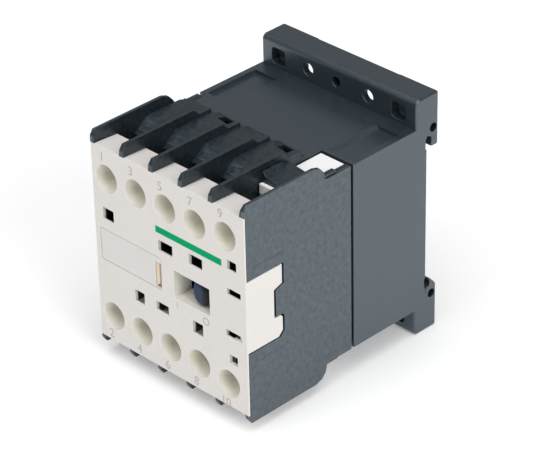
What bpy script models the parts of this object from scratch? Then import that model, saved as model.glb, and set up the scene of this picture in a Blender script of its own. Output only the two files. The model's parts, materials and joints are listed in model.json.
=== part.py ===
"""A mini contactor for a 35 mm rail: three main poles, one auxiliary pole and a coil.

Sizes are in millimetres and become metres where a mesh is made. A place is (x, depth, z): x to the right of
someone facing the contactor, depth from the front face back, z up from the middle of the rail.
The origin is the middle of the seat that the rail presses on, so the front face is at y = -SEAT_DEPTH.
"""

import math

import bmesh
import bpy
from mathutils import Matrix, Vector

MM = 0.001

# Driving dimensions
WIDTH = 45.0
HEIGHT = 58.0
DEPTH = 57.0
SEAT_DEPTH = 53.5          # rail seat, 3.5 in front of the rear plane
FLANGE_FRONT = 50.1
SEAM = 30.6                # rear edge of the front housing
GAP = 0.3                  # left between pieces that touch
SHY = 0.02                 # how far the side tabs stay inside the full width
SIDES = ((1, "upper"), (-1, "lower"))
BODY_MID = -0.2            # middle of the casings, below the middle of the rail
BODY_HALF = 22.35
FIN_HALF = 26.1
WALL = 1.6                 # walls and fins
FACE_TOP = 23.25
FACE_BOTTOM = -24.4
LEDGE_DEPTH = 6.5
TAB_ROOT = 21.2            # where the side tabs start

# Poles
POLES = 5
POLE_PITCH = (WIDTH - WALL) / POLES
FIRST_CHAMBER = -WIDTH / 2 + WALL
CHAMBER = POLE_PITCH - WALL
SCREW_PITCH = 8.72
SCREW_MID = -0.7           # middle of the row of screws, left of the casing's middle
ROW_MID = -1.0             # middle between the upper and the lower row
ROW_HALF = 16.9
COIL_ROW_SHIFT = 0.85      # the coil's screws stand this much further out
ROW_INNER_HALF = 10.3      # inner edge of the terminal rows

# Terminals
WELL_RADIUS = 3.1
HEAD_DEPTH = 6.9
HEAD_LENGTH = 1.5
HEAD_RADIUS = 2.6
SHANK_RADIUS = 1.6
SCREW_LENGTH = 8.7
SCREW_HOLE_RADIUS = 1.9
CLAMP_DEPTH = 8.7
CLAMP_THICKNESS = 0.9
PLATE_DEPTH = 12.4
PLATE_THICKNESS = 1.0

# Moving contacts
CONTACT_DEPTH = 21.5       # middle of the bridges
BRIDGE_WIDTH = 4.0
BRIDGE_HALF = 11.6
BUTTON_HEIGHT = 10.2
BUTTON_RADIUS = 1.4
BUTTON_THICKNESS = 0.5
BRIDGE_LEFT = 5.5          # from the chamber's left wall
BRIDGE_THICKNESS = 0.8
FIXED_LEFT = 0.3
FIXED_THICKNESS = 0.9
WINDOW_LEFT = 5.2
WINDOW_RIGHT = 9.9

# Magnet
MAGNET_FRONT = 36.0
MAGNET_REAR = 45.0
MAGNET_MID_DEPTH = (MAGNET_FRONT + MAGNET_REAR) / 2
CENTRE_LEG = 3.5
OUTER_LEG = (9.5, 13.0)
CORE_TIP = -1.0
ARMATURE_TIP = 3.3
RETURN_SPRING_HEIGHT = 15.6

# Gutters of the rear housing
GUTTER_INNER = 15.0
GUTTER_FRONT = 31.9

# Rail hooks and fixing holes
HOOK_FRONT = 54.9
FIXING_X = 17.5
FIXING_Z = 25.0
FIXING_RADIUS = 2.0

# Colours
DARK_GREY = (0.105, 0.125, 0.14)
DEEP_GREY = (0.085, 0.10, 0.115)
OFF_WHITE = (0.78, 0.76, 0.72)
COIL_WHITE = (0.86, 0.86, 0.85)
BLUE = (0.03, 0.07, 0.26)
STEEL = (0.55, 0.55, 0.56)
COPPER = (0.72, 0.36, 0.18)
BRASS = (0.72, 0.55, 0.26)


def start_scene():
    """An empty scene with one collection for the pieces and one for the tools that cut and join them."""
    for obj in list(bpy.data.objects):
        bpy.data.objects.remove(obj, do_unlink=True)
    pieces = bpy.data.collections.new("mini_contactor")
    tools = bpy.data.collections.new("cutters")
    bpy.context.scene.collection.children.link(pieces)
    bpy.context.scene.collection.children.link(tools)
    return pieces, tools


PIECES, TOOLS = start_scene()


def material(name, colour, roughness=0.5, metallic=0.0):
    made = bpy.data.materials.new(name)
    made.use_nodes = True
    shader = made.node_tree.nodes["Principled BSDF"]
    shader.inputs["Base Color"].default_value = (*colour, 1.0)
    shader.inputs["Roughness"].default_value = roughness
    shader.inputs["Metallic"].default_value = metallic
    return made


def place(x, depth, z):
    return Vector((x, depth - SEAT_DEPTH, z)) * MM


def around(middle, half):
    return (middle - half, middle + half)


def mirrored(span, middle):
    """The same span on the other side of a middle height."""
    return (2 * middle - span[1], 2 * middle - span[0])


def in_scene(name, data):
    obj = bpy.data.objects.new(name, data)
    PIECES.objects.link(obj)
    return obj


def mesh_object(name, bm):
    mesh = bpy.data.meshes.new(name)
    bm.to_mesh(mesh)
    bm.free()
    return in_scene(name, mesh)


def boxes(name, spans):
    """Boxes that don't meet, in one object; each is (x span, depth span, z span)."""
    bm = bmesh.new()
    for x, depth, z in spans:
        low, high = place(x[0], depth[0], z[0]), place(x[1], depth[1], z[1])
        size = Matrix.Diagonal((*(high - low), 1.0))
        bmesh.ops.create_cube(bm, size=1.0, matrix=Matrix.Translation((low + high) / 2) @ size)
    return mesh_object(name, bm)


def box(name, x, depth, z):
    return boxes(name, [(x, depth, z)])


TURNS = {
    "x": Matrix(((0, 0, 1), (1, 0, 0), (0, 1, 0))).to_4x4(),
    "y": Matrix(((1, 0, 0), (0, 0, -1), (0, 1, 0))).to_4x4(),
}


def evaluated_mesh(obj):
    """The object's final mesh as a mesh of its own, with the object taken away."""
    depsgraph = bpy.context.evaluated_depsgraph_get()
    depsgraph.update()
    mesh = bpy.data.meshes.new_from_object(obj.evaluated_get(depsgraph))
    mesh.transform(obj.matrix_world)
    bpy.data.objects.remove(obj, do_unlink=True)
    bm = bmesh.new()
    bm.from_mesh(mesh)
    bmesh.ops.remove_doubles(bm, verts=bm.verts, dist=1e-7)
    bmesh.ops.recalc_face_normals(bm, faces=bm.faces)
    bm.to_mesh(mesh)
    bm.free()
    return mesh


def prism(name, outline, span, axis="x"):
    """A flat outline with thickness: (depth, z) points along x, or (x, z) points along the depth."""
    curve = bpy.data.curves.new(name, "CURVE")
    curve.dimensions = "2D"
    curve.fill_mode = "BOTH"
    curve.extrude = (span[1] - span[0]) / 2 * MM
    spline = curve.splines.new("POLY")
    spline.points.add(len(outline) - 1)
    spline.use_cyclic_u = True
    for point, (across, up) in zip(spline.points, outline):
        point.co = (across * MM, up * MM, 0.0, 1.0)
    obj = in_scene(name, curve)
    middle = sum(span) / 2
    start = place(middle, 0.0, 0.0) if axis == "x" else place(0.0, middle, 0.0)
    obj.matrix_world = Matrix.Translation(start) @ TURNS[axis]
    bpy.context.view_layer.update()
    return in_scene(name, evaluated_mesh(obj))


def rod(name, centres, radius, length, axis="y", sides=24):
    """Round bars about x or along the depth, in one object; each centre is (x, depth, z)."""
    bm = bmesh.new()
    turn = Matrix.Rotation(math.pi / 2, 4, "X" if axis == "y" else "Y")
    for centre in centres:
        bmesh.ops.create_cone(
            bm, cap_ends=True, segments=sides, radius1=radius * MM, radius2=radius * MM,
            depth=length * MM, matrix=Matrix.Translation(place(*centre)) @ turn)
    obj = mesh_object(name, bm)
    round_off(obj)
    return obj


def round_off(obj, angle=35.0):
    obj.data.shade_smooth()
    obj.data.set_sharp_from_angle(angle=math.radians(angle))


def change(obj, tool, operation):
    """Cuts the tool out of the object, or joins it on; the tool moves to the hidden collection."""
    tool.name = f"{obj.name}_{operation.lower()}_{len(obj.modifiers)}"
    PIECES.objects.unlink(tool)
    TOOLS.objects.link(tool)
    tool.hide_render = True
    tool.display_type = "WIRE"
    modifier = obj.modifiers.new(tool.name, "BOOLEAN")
    modifier.operation = operation
    modifier.solver = "EXACT"
    modifier.object = tool


def join(obj, *tools):
    for tool in tools:
        change(obj, tool, "UNION")


def cut(obj, *tools):
    for tool in tools:
        change(obj, tool, "DIFFERENCE")


def finished(obj, colour, roughness=0.5, metallic=0.0):
    """Gives the piece its own material."""
    obj.data.materials.clear()
    obj.data.materials.append(material(obj.name, colour, roughness, metallic))
    return obj


def copies(pattern, names_and_shifts, colour, roughness, metallic, origin=None):
    """Copies of a piece that share one mesh, each moved by its own (x, depth, z) shift."""
    tools = [modifier.object for modifier in pattern.modifiers]
    bpy.context.view_layer.update()
    mesh = evaluated_mesh(pattern)
    for tool in tools:
        bpy.data.objects.remove(tool, do_unlink=True)
    at = place(*origin) if origin else Vector()
    mesh.transform(Matrix.Translation(-at))
    mesh.shade_smooth()
    mesh.set_sharp_from_angle(angle=math.radians(35.0))
    for name, shift in names_and_shifts:
        obj = in_scene(name, mesh.copy())
        obj.location = at + Vector(shift) * MM
        finished(obj, colour, roughness, metallic)


def chamber_left(pole):
    """Inner face of the wall to the left of a pole; poles count from 0 at the left."""
    return FIRST_CHAMBER + POLE_PITCH * pole


def screw_x(pole):
    return SCREW_MID + SCREW_PITCH * (pole - (POLES - 1) / 2)


def screw_z(pole, side):
    shift = COIL_ROW_SHIFT if pole == POLES - 1 else 0.0
    return ROW_MID + side * (ROW_HALF + shift)


def row(side, inner, outer):
    """Heights on one side, counted outwards from the middle of a row of screws."""
    return tuple(sorted((ROW_MID + side * (ROW_HALF + inner), ROW_MID + side * (ROW_HALF + outer))))


def both_sides(points, middle=BODY_MID):
    """An outline from its upper half, given from front to rear as (depth, height over the middle)."""
    upper = [(depth, middle + height) for depth, height in points]
    lower = [(depth, middle - height) for depth, height in reversed(points)]
    return upper + lower


def arc(centre, radius, start, end, steps):
    """Points on an arc, with its angles in degrees."""
    angles = [math.radians(start + (end - start) * step / steps) for step in range(steps + 1)]
    return [(centre[0] + radius * math.cos(a), centre[1] + radius * math.sin(a)) for a in angles]


def helix(name, start, end, centre, radius, wire, turns, steps=8):
    """A coil spring along x, from start to end, about a (depth, z) centre."""
    curve = bpy.data.curves.new(name, "CURVE")
    curve.dimensions = "3D"
    curve.bevel_depth = wire / 2 * MM
    curve.bevel_resolution = 2
    curve.use_fill_caps = True
    spline = curve.splines.new("POLY")
    count = turns * steps
    spline.points.add(count)
    for step, point in enumerate(spline.points):
        angle = 2 * math.pi * step / steps
        x = start + (end - start) * step / count
        where = place(x, centre[0] + radius * math.cos(angle), centre[1] + radius * math.sin(angle))
        point.co = (*where, 1.0)
    return finished(in_scene(name, curve), STEEL, 0.3, 1.0)


# --- casings -------------------------------------------------------------------------------------------

def fin_outline(side, front, rib):
    """A fin's edge on one side, from its nose to the roof behind it, with or without a low rib behind."""
    root = FACE_TOP + 0.25 if side > 0 else FACE_BOTTOM - 0.25
    top = BODY_MID + side * FIN_HALF
    nose = [(front, root), (0.0, root), (0.0, top - side * 1.1), (0.35, top - side * 0.35), (1.1, top)]
    if rib:
        tail = [(20.3, top), (21.6, top - side * 1.4), (25.0, top - side * 1.4), (25.1, top - side * 3.4)]
    else:
        tail = [(19.6, top), (21.2, top - side * 0.5), (22.5, top - side * 1.6), (23.0, top - side * 3.4)]
    return nose + tail


def inner_wall_outline():
    """A wall between two poles, with its fins above and below and room for the terminal rows in front."""
    upper = [(2.5, ROW_MID + 10.0), (6.8, ROW_MID + 10.0)] + fin_outline(1, 6.8, True)
    lower = fin_outline(-1, 6.8, True)[::-1] + [(6.8, ROW_MID - 10.0), (2.5, ROW_MID - 10.0)]
    rear = [(27.9, BODY_MID + 21.5), (27.9, BODY_MID - 21.5)]
    return upper + rear + lower


def outer_wall_outline():
    upper = fin_outline(1, 1.5, False) + [(23.1, BODY_MID + BODY_HALF), (SEAM, BODY_MID + BODY_HALF)]
    lower = [(SEAM, BODY_MID - BODY_HALF), (23.1, BODY_MID - BODY_HALF)] + fin_outline(-1, 1.5, False)[::-1]
    return upper + lower


def side_tab_outline(gap=0.0, rear_gap=0.0):
    """The arm of the front cover that clips into each side of the housing."""
    front = 0.8 - 5 * gap
    outer, inner = 8.55 + gap, 3.55 - gap
    long, short = 10.3 + rear_gap, 7.95 + rear_gap
    middle = -0.45
    return [
        (front, middle + outer), (long - 0.3, middle + outer), (long, middle + outer - 0.3),
        (long, middle + inner + 0.5), (short, middle + inner - 0.3), (short, middle - inner),
        (long - 0.5, middle - inner), (long, middle - inner - 0.5), (long, middle - outer + 1.2),
        (long - 1.2, middle - outer), (front, middle - outer)]


def gutter_outline(turn, side):
    """The sloping gutter beside each end of the roof and of the floor, in (x, z)."""
    edge = BODY_MID + side * BODY_HALF
    inner, outer = turn * GUTTER_INNER, turn * (WIDTH / 2 - 1.2)
    return [(inner, edge), (outer, edge - side * 1.1), (outer, edge + side), (inner, edge + side)]


def make_rear_housing():
    """The coil's casing, with the fixing flange and the two hooks for the rail."""
    half = HEIGHT / 2
    upper_hook = [(DEPTH, 16.3), (55.2, 16.3), (HOOK_FRONT, 16.6), (HOOK_FRONT, 18.4)]
    upper_notch = arc((54.0, 18.4), 0.9, 0.0, 180.0, 4) + [(53.1, 16.5), (SEAT_DEPTH, 16.1)]
    lower_notch = [(SEAT_DEPTH, -15.4), (53.1, -15.8)] + arc((54.0, -17.4), 0.9, 180.0, 360.0, 4)
    lower_hook = [(HOOK_FRONT, -16.6), (55.1, -16.3), (DEPTH, -18.3)]
    body = BODY_MID + BODY_HALF, BODY_MID - BODY_HALF
    outline = (
        [(SEAM + GAP, body[0]), (FLANGE_FRONT, body[0]), (FLANGE_FRONT, half), (DEPTH, half)]
        + upper_hook + upper_notch + lower_notch + lower_hook
        + [(DEPTH, -half), (FLANGE_FRONT, -half), (FLANGE_FRONT, body[1]), (SEAM + GAP, body[1])])
    housing = prism("rear_housing", outline, around(0.0, WIDTH / 2))
    inside = around(BODY_MID, BODY_HALF - WALL)
    cut(housing, box("cavity", around(0.0, WIDTH / 2 - WALL), (29.0, 49.0), inside))
    for turn in (1, -1):
        for side in (1, -1):
            cut(housing, prism("gutter", gutter_outline(turn, side), (GUTTER_FRONT, FLANGE_FRONT), "y"))
    corners = [(x, z) for x in (-FIXING_X, FIXING_X) for z in (-FIXING_Z, FIXING_Z)]
    cut(housing, rod("fixing_holes", [(x, 53.5, z) for x, z in corners], FIXING_RADIUS, 9.0, sides=20))
    cut(housing, boxes("fixing_recesses", [
        (around(x, 2.8), (49.0, 51.3), around(z, 2.5)) for x, z in corners]))
    cut(housing, boxes("rear_pockets", [
        (around(x, 4.2), (51.7, 58.0), around(z, 2.6))
        for x in (-FIXING_X / 2, FIXING_X / 2) for z in (-FIXING_Z - 0.4, FIXING_Z + 0.4)]))
    cut(housing, rod("small_holes", [
        (x, 51.0, z) for x in (-FIXING_X / 2, FIXING_X / 2) for z in (-FIXING_Z - 0.2, FIXING_Z + 0.2)],
        1.7, 3.0, sides=16))
    cut(housing, rod("blind_hole", [(-0.4, 50.5, FIXING_Z + 0.2)], 1.5, 5.0, sides=12))
    cut(housing, rod("hook_holes", [(0.0, 55.4, 20.9), (0.0, 55.4, -20.2)], 0.95, WIDTH + 2, "x", 12))
    cut(housing, box("spring_pocket", around(0.0, 10.6), (53.3, 54.7), (17.6, 23.2)))
    cut(housing, box("top_step", around(0.0, 12.0), (56.4, 58.0), (half - 0.3, half + 1.0)))
    finished(housing, DARK_GREY, 0.55)


def chamber_five_outline(side):
    """The room over the coil's terminals, which leaves a block of the roof standing."""
    heights = [18.2, 18.2, 24.5, 24.5, 21.5, 21.5, 24.5, 24.5]
    depths = [9.0, 31.5, 31.5, 21.5, 21.5, 13.6, 13.6, 9.0]
    return [(depth, BODY_MID + side * height) for depth, height in zip(depths, heights)]


def make_front_housing():
    """The contact casing: roof, floor, rear wall, six walls with fins and two shelves."""
    outside, roof, underside = BODY_HALF - 0.15, BODY_HALF + 0.6, BODY_HALF - WALL
    shell = both_sides([
        (11.0, underside), (11.0, underside + 0.45), (13.4, roof), (25.4, roof), (25.4, outside),
        (SEAM - 0.2, outside), (SEAM - 0.2, underside), (28.6, underside)])
    shell += [(27.4, BODY_MID - underside), (27.4, BODY_MID + underside)]
    housing = prism("front_housing", shell, around(0.0, WIDTH / 2 - 0.4))
    lefts = [chamber_left(pole) - WALL for pole in range(POLES + 1)]
    inner_walls = [prism("wall", inner_wall_outline(), (left, left + WALL)) for left in lefts[1:-1]]
    ends = (lefts[0], lefts[-1])
    outer_walls = [prism("wall", outer_wall_outline(), (left, left + WALL)) for left in ends]
    join(housing, *outer_walls, *inner_walls)
    shelf = (ROW_MID + 10.0, ROW_MID + 11.2)
    join(housing, boxes("shelves", [
        (around(0.0, WIDTH / 2 - 0.7), (6.8, 18.6), span) for span in (shelf, mirrored(shelf, ROW_MID))]))

    face = (FACE_BOTTOM, FACE_TOP)
    cut(housing, boxes("front_reliefs", [
        ((-21.65, -20.0), (0.9, 6.7), face), ((20.0, 21.65), (0.9, 6.7), face)]))
    cut(housing, box("carrier_slot", around(0.0, 20.7), (16.9, 26.1), around(ROW_MID, 4.6)))
    cut(housing, box("window_room", (0.1, 13.1), (1.0, 5.2), around(ROW_MID, 4.5)))
    cut(housing, box("stem_slot", (2.6, 10.2), (4.0, 17.5), around(ROW_MID, 3.4)))
    cut(housing, box("arm_slot", (11.9, 19.8), (25.5, 29.5), around(ROW_MID, 4.4)))
    last = (chamber_left(POLES - 1) - 0.1, chamber_left(POLES - 1) + CHAMBER + 0.1)
    cut(housing, prism("coil_room", chamber_five_outline(1), last))
    cut(housing, prism("coil_room", chamber_five_outline(-1), last))
    latches = [
        (around(x, 1.5), (24.9, 26.6), z)
        for x in (-POLE_PITCH, POLE_PITCH) for z in ((20.0, 24.0), (-24.4, -20.4))]
    cut(housing, boxes("latch_windows", latches))
    notch = side_tab_outline(GAP, 0.6)
    cut(housing, prism("tab_notch", notch, (WIDTH / 2 - WALL - 0.2, WIDTH / 2 + 1)))
    cut(housing, prism("tab_notch", notch, (-WIDTH / 2 - 1, -WIDTH / 2 + WALL + 0.2)))
    finished(housing, DEEP_GREY, 0.5)


SLOTS = [  # middle x, middle z, width, height of the openings for add-on blocks
    (-18.1, 7.2, 3.3, 2.8), (-0.65, 6.4, 3.7, 2.5), (8.15, 7.0, 3.3, 2.5), (18.7, 10.5, 2.1, 2.2),
    (-9.5, -9.3, 2.9, 2.8), (-2.55, -8.9, 3.7, 2.1), (8.05, -9.2, 3.0, 2.9),
    (19.0, 4.2, 3.9, 1.0), (18.8, -6.1, 4.6, 1.2)]


def make_front_cover():
    """The front plate, with its terminal rows, side tabs, window and openings."""
    face = [
        (0.0, FACE_TOP - 0.5), (0.15, FACE_TOP - 0.15), (0.5, FACE_TOP), (1.2, FACE_TOP),
        (1.2, FACE_BOTTOM), (0.5, FACE_BOTTOM), (0.15, FACE_BOTTOM + 0.15), (0.0, FACE_BOTTOM + 0.5)]
    cover = prism("front_cover", face, around(0.0, WIDTH / 2))
    inner = around(ROW_MID, ROW_INNER_HALF)
    rows = [
        (0.8, FACE_TOP - 0.05), (LEDGE_DEPTH, FACE_TOP - 0.5), (LEDGE_DEPTH, inner[1]), (2.2, inner[1]),
        (2.2, inner[0]), (LEDGE_DEPTH, inner[0]), (LEDGE_DEPTH, FACE_BOTTOM + 0.5),
        (0.8, FACE_BOTTOM + 0.05)]
    join(cover, prism("rows", rows, around(0.0, 21.35)))
    tab = side_tab_outline()
    tab_span = (TAB_ROOT, WIDTH / 2 - SHY)
    join(cover, prism("right_tab", tab, tab_span), prism("left_tab", tab, mirrored(tab_span, 0.0)))
    join(cover, box("window_tube", (0.4, 12.8), (1.8, 4.9), around(ROW_MID, 4.2)))
    wells = [(screw_x(pole), 3.0, screw_z(pole, side)) for pole in range(POLES) for side in (1, -1)]
    cut(cover, rod("wells", wells, WELL_RADIUS, 9.0))
    cut(cover, boxes("slots", [(around(x, w / 2), (-1.0, 8.0), around(z, h / 2)) for x, z, w, h in SLOTS]))
    cut(cover, box("latch_pocket", around(18.4, 1.15), (-1.0, 1.6), around(-12.3, 1.05)))
    cut(cover, box("window", (1.4, 11.8), (-1.0, 6.0), (-4.5, 2.0)))
    cut(cover, box("marker_recess", (-21.1, -2.2), (-1.0, 1.3), (-4.75, 3.5)))
    finished(cover, OFF_WHITE, 0.5)


def make_marker_holder():
    holder = box("marker_holder", (-20.8, -2.5), (0.0, 1.0), (-4.45, 3.2))
    cut(holder, box("finger_groove", (-3.3, -2.8), (-1.0, 0.6), (-2.2, 2.2)))
    finished(holder, OFF_WHITE, 0.45)


# --- moving contacts -----------------------------------------------------------------------------------

def make_indicator():
    """The blue end of the carrier that shows in the window."""
    half_width, half_height = 2.0, 2.85
    straight = half_height - half_width
    outline = arc((8.3, straight - 1.25), half_width, 0.0, 180.0, 8)
    outline += arc((8.3, -straight - 1.25), half_width, 180.0, 360.0, 8)
    tongue = prism("indicator", outline, (0.8, 4.6), "y")
    bevel = tongue.modifiers.new("front_edge", "BEVEL")
    bevel.width = 0.4 * MM
    bevel.segments = 2
    bevel.angle_limit = math.radians(60)
    round_off(tongue)
    return finished(tongue, BLUE, 0.35)


def make_carrier():
    """The insulating slide for the bridges, with a stem to the window and an arm to the armature."""
    height = around(ROW_MID, 4.0)
    carrier = box("contact_carrier", (-16.7, 19.3), (17.2, 25.8), height)
    join(carrier, box("stem", (7.2, 9.4), (4.9, 18.0), around(ROW_MID, 2.2)))
    join(carrier, box("arm", (16.3, 19.3), (25.0, 44.0), around(ROW_MID, 3.6)))
    windows = [
        ((chamber_left(pole) + WINDOW_LEFT, chamber_left(pole) + WINDOW_RIGHT), (19.2, 23.8), (-9.0, 7.0))
        for pole in range(POLES - 1)]
    cut(carrier, boxes("bridge_windows", windows))
    return finished(carrier, (0.16, 0.13, 0.10), 0.5)


def make_bridges():
    """One bridge for each of the four switched poles, with its two silver buttons."""
    left = chamber_left(0) + BRIDGE_LEFT
    depth = around(CONTACT_DEPTH, BRIDGE_WIDTH / 2)
    bridge = box("bridge", (left, left + BRIDGE_THICKNESS), depth, around(ROW_MID, BRIDGE_HALF))
    button_x = left - BUTTON_THICKNESS / 2 + 0.1
    buttons = [(button_x, CONTACT_DEPTH, ROW_MID + side * BUTTON_HEIGHT) for side in (1, -1)]
    join(bridge, rod("buttons", buttons, BUTTON_RADIUS, BUTTON_THICKNESS + 0.2, "x", 12))
    places = [(f"contact_bridge_{pole + 1}", (POLE_PITCH * pole, 0, 0)) for pole in range(POLES - 1)]
    copies(bridge, places, COPPER, 0.3, 1.0, (left, CONTACT_DEPTH, ROW_MID))


def make_contact_springs():
    for pole in range(POLES - 1):
        start = chamber_left(pole) + BRIDGE_LEFT + BRIDGE_THICKNESS + 0.35
        end = chamber_left(pole) + WINDOW_RIGHT - 0.35
        helix(f"contact_spring_{pole + 1}", start, end, (CONTACT_DEPTH, ROW_MID), 1.5, 0.4, 3)


def make_fixed_contacts():
    """The fixed contacts of the switched poles: a terminal plate, an arm and a button."""
    left = chamber_left(0) + FIXED_LEFT
    strip = (left, left + FIXED_THICKNESS)
    plate_depth = (PLATE_DEPTH, PLATE_DEPTH + PLATE_THICKNESS)
    for side, word in SIDES:
        plate = box("plate", (left, left + 6.4), plate_depth, row(side, -5.2, 2.8))
        join(plate, box("arm", strip, (PLATE_DEPTH + 0.2, 23.5), row(side, -5.2, -2.4)))
        join(plate, box("tip", strip, (19.5, 23.5), row(side, -8.2, -2.8)))
        button_x = left + FIXED_THICKNESS + BUTTON_THICKNESS / 2 - 0.1
        button = (button_x, CONTACT_DEPTH, ROW_MID + side * BUTTON_HEIGHT)
        join(plate, rod("button", [button], BUTTON_RADIUS, BUTTON_THICKNESS + 0.2, "x", 12))
        hole = (screw_x(0), PLATE_DEPTH, screw_z(0, side))
        cut(plate, rod("thread", [hole], SCREW_HOLE_RADIUS, 5.0, sides=12))
        name = f"fixed_contact_{word}"
        places = [(f"{name}_{pole + 1}", (POLE_PITCH * pole, 0, 0)) for pole in range(POLES - 1)]
        copies(plate, places, BRASS, 0.35, 1.0)


# --- terminals -----------------------------------------------------------------------------------------

def terminal_places(prefix):
    """A name for each terminal, with its shift from the first upper one."""
    return [
        (f"{prefix}_{word}_{pole + 1}",
         (screw_x(pole) - screw_x(0), 0.0, screw_z(pole, side) - screw_z(0, 1)))
        for side, word in SIDES for pole in range(POLES)]


def make_clamps():
    """The square washers that press the wires onto the plates."""
    x, z = screw_x(0), screw_z(0, 1)
    clamp = box("clamp", around(x, 2.6), (CLAMP_DEPTH, CLAMP_DEPTH + CLAMP_THICKNESS), around(z, 2.3))
    cut(clamp, rod("hole", [(x, CLAMP_DEPTH, z)], SCREW_HOLE_RADIUS, 4.0, sides=12))
    copies(clamp, terminal_places("wire_clamp"), STEEL, 0.35, 1.0, (x, CLAMP_DEPTH, z))


def make_screws():
    """The terminal screws, with a cross recess."""
    x, z = screw_x(0), screw_z(0, 1)
    head_end = HEAD_DEPTH + HEAD_LENGTH
    screw = rod("screw", [(x, (HEAD_DEPTH + head_end) / 2, z)], HEAD_RADIUS, HEAD_LENGTH, sides=20)
    shank_middle = (head_end - 0.2 + HEAD_DEPTH + SCREW_LENGTH) / 2
    shank_length = SCREW_LENGTH - HEAD_LENGTH + 0.2
    join(screw, rod("shank", [(x, shank_middle, z)], SHANK_RADIUS, shank_length, sides=12))
    recess = (HEAD_DEPTH - 1.0, HEAD_DEPTH + 0.8)
    cut(screw, box("slot", around(x, 1.7), recess, around(z, 0.35)))
    cut(screw, box("slot", around(x, 0.35), recess, around(z, 1.7)))
    copies(screw, terminal_places("terminal_screw"), STEEL, 0.3, 1.0, (x, HEAD_DEPTH, z))


def make_coil_terminals():
    """The two plates that end the coil's winding."""
    pole = POLES - 1
    x = (chamber_left(pole) + GAP, chamber_left(pole) + CHAMBER - GAP)
    for side, word in SIDES:
        centre = screw_z(pole, side)
        outer = BODY_MID + side * 20.1
        z = tuple(sorted((centre - side * 4.0, outer)))
        plate = box(f"coil_terminal_{word}", x, (PLATE_DEPTH, PLATE_DEPTH + PLATE_THICKNESS), z)
        cut(plate, rod("thread", [(screw_x(pole), PLATE_DEPTH, centre)], SCREW_HOLE_RADIUS, 4.0, sides=12))
        finished(plate, BRASS, 0.35, 1.0)


# --- magnet and coil -----------------------------------------------------------------------------------

def e_outline(back, front, tip):
    """An E in (x, z): a back from x = back to front, and three legs that reach tip."""
    inner, outer = OUTER_LEG
    upper = [(tip, outer), (tip, inner), (front, inner), (front, CENTRE_LEG), (tip, CENTRE_LEG)]
    half = [(back, outer)] + upper
    return [(x, ROW_MID + z) for x, z in half] + [(x, ROW_MID - z) for x, z in reversed(half)]


def make_magnet():
    """The fixed core with its two shading rings, and the armature that it pulls."""
    depth = (MAGNET_FRONT, MAGNET_REAR)
    core = prism("magnet_core", e_outline(-20.0, -14.2, CORE_TIP), depth, "y")
    slots = [(OUTER_LEG[0] + 1.4, OUTER_LEG[0] + 2.4), (-OUTER_LEG[0] - 2.4, -OUTER_LEG[0] - 1.4)]
    cut(core, boxes("ring_slots", [
        ((-2.1, 0.0), (35.0, 46.0), (ROW_MID + low, ROW_MID + high)) for low, high in slots]))
    finished(core, (0.32, 0.32, 0.33), 0.45, 1.0)
    for side, word in SIDES:
        middle = ROW_MID + side * 12.5
        ring = box(f"shading_ring_{word}", (-1.95, -1.25), (35.2, 45.8), around(middle, 1.4))
        cut(ring, box("hole", (-3.0, 0.0), (35.7, 45.3), around(middle, 0.85)))
        finished(ring, COPPER, 0.3, 1.0)
    armature = prism("armature", e_outline(16.0, 11.2, ARMATURE_TIP), depth, "y")
    wing = (ROW_MID + 12.0, ROW_MID + 17.3)
    wings = [wing, mirrored(wing, ROW_MID)]
    join(armature, boxes("wings", [((11.4, 15.8), (38.0, 43.0), span) for span in wings]))
    return finished(armature, (0.32, 0.32, 0.33), 0.45, 1.0)


def coil_arm_outline(side):
    """The arm of the bobbin that carries a coil terminal to the front."""
    heights = [19.1, 20.45, 20.45, 22.0, 22.0, 21.2, 21.2, 22.15, 22.15, 20.35, 20.35, 18.7, 18.7]
    depths = [13.8, 13.8, 12.6, 12.6, 13.25, 13.25, 21.8, 21.8, 30.5, 30.5, 37.5, 37.5, 14.3]
    return [(depth, BODY_MID + side * height) for depth, height in zip(depths, heights)]


def make_bobbin():
    """The white former: a square tube, two flanges and the arms to the coil terminals."""
    inside = around(ROW_MID, 4.7)
    bobbin = box("coil_bobbin", (-13.8, 6.8), (34.8, 46.2), inside)
    low, high = BODY_MID - 20.35, BODY_MID + 20.35
    join(bobbin, boxes("flanges", [
        ((-13.8, -12.6), (31.6, 48.6), around(ROW_MID, 17.3)), ((5.6, 6.7), (31.6, 48.6), (low, high))]))
    cross = (BODY_MID + 18.7, high)
    join(bobbin, boxes("cross_arms", [
        ((5.8, 14.6), (31.7, 37.4), span) for span in (cross, mirrored(cross, BODY_MID))]))
    left = chamber_left(POLES - 1)
    for side in (1, -1):
        join(bobbin, prism("arm", coil_arm_outline(side), (left + GAP, left + CHAMBER - GAP)))
    outer_leg = (ROW_MID + OUTER_LEG[0] - 0.4, ROW_MID + OUTER_LEG[1] + 1.8)
    legs = [around(ROW_MID, CENTRE_LEG + 0.4), outer_leg, mirrored(outer_leg, ROW_MID)]
    cut(bobbin, boxes("leg_windows", [((-15.0, 8.0), (34.9, 46.1), leg) for leg in legs]))
    tips = [(screw_x(POLES - 1), 15.0, screw_z(POLES - 1, side)) for side in (1, -1)]
    cut(bobbin, rod("screw_room", tips, SCREW_HOLE_RADIUS + 0.1, 9.0, sides=12))
    springs = [(6.2, MAGNET_MID_DEPTH, ROW_MID + side * RETURN_SPRING_HEIGHT) for side in (1, -1)]
    cut(bobbin, rod("spring_holes", springs, 2.2, 3.0, "x", 12))
    finished(bobbin, COIL_WHITE, 0.4)


def make_winding():
    winding = box("coil_winding", (-12.3, 5.3), (32.6, 48.4), around(ROW_MID, 8.6))
    cut(winding, box("former", (-14.0, 7.0), (34.5, 46.5), around(ROW_MID, 5.0)))
    finished(winding, (0.45, 0.16, 0.05), 0.35, 0.6)


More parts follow.
